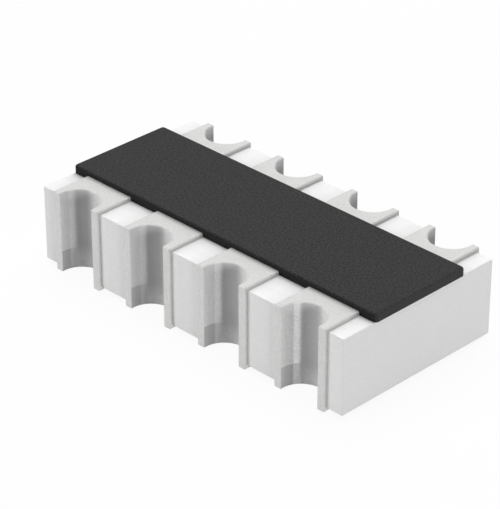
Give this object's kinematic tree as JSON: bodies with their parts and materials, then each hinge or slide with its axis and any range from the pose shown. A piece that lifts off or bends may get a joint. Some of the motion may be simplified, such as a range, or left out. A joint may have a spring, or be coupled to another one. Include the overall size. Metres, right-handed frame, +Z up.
{
  "type": "resistor network",
  "caption": "Flat ceramic surface-mount resistor network with half-round plated notches as terminals along both long sides and a dark overcoat on top.",
  "frame": {"origin": "middle of the footprint, on the plane of the terminals' undersides, which stand on the board", "axes": "+X along the rows of terminals, +Y across the body, +Z up through the overcoat"},
  "size_m": [0.0032, 0.0016, 0.0007],
  "materials": {
    "alumina": "fine matte, as fired",
    "silver_electrode": "matte fired silver",
    "nickel_plating": "satin nickel",
    "tin_plating": "matte tin",
    "resistive_film": "matte fired ruthenium oxide film",
    "glass_coat": "fired glass",
    "overcoat_resin": "matte printed resin"
  },
  "bodies": {
    "root": {"ceramic_substrate": "alumina", "top_electrode_1": "silver_electrode", "top_electrode_2": "silver_electrode", "top_electrode_3": "silver_electrode", "top_electrode_4": "silver_electrode", "top_electrode_5": "silver_electrode", "top_electrode_6": "silver_electrode", "top_electrode_7": "silver_electrode", "top_electrode_8": "silver_electrode", "side_electrode_1": "silver_electrode", "side_electrode_2": "silver_electrode", "side_electrode_3": "silver_electrode", "side_electrode_4": "silver_electrode", "side_electrode_5": "silver_electrode", "side_electrode_6": "silver_electrode", "side_electrode_7": "silver_electrode", "side_electrode_8": "silver_electrode", "bottom_electrode_1": "silver_electrode", "bottom_electrode_2": "silver_electrode", "bottom_electrode_3": "silver_electrode", "bottom_electrode_4": "silver_electrode", "bottom_electrode_5": "silver_electrode", "bottom_electrode_6": "silver_electrode", "bottom_electrode_7": "silver_electrode", "bottom_electrode_8": "silver_electrode", "nickel_barrier_1": "nickel_plating", "nickel_barrier_2": "nickel_plating", "nickel_barrier_3": "nickel_plating", "nickel_barrier_4": "nickel_plating", "nickel_barrier_5": "nickel_plating", "nickel_barrier_6": "nickel_plating", "nickel_barrier_7": "nickel_plating", "nickel_barrier_8": "nickel_plating", "tin_terminal_1": "tin_plating", "tin_terminal_2": "tin_plating", "tin_terminal_3": "tin_plating", "tin_terminal_4": "tin_plating", "tin_terminal_5": "tin_plating", "tin_terminal_6": "tin_plating", "tin_terminal_7": "tin_plating", "tin_terminal_8": "tin_plating", "resistive_element_1": "resistive_film", "resistive_element_2": "resistive_film", "resistive_element_3": "resistive_film", "resistive_element_4": "resistive_film", "glass_coat_1": "glass_coat", "glass_coat_2": "glass_coat", "glass_coat_3": "glass_coat", "glass_coat_4": "glass_coat", "overcoat": "overcoat_resin"}
  },
  "joints": []
}
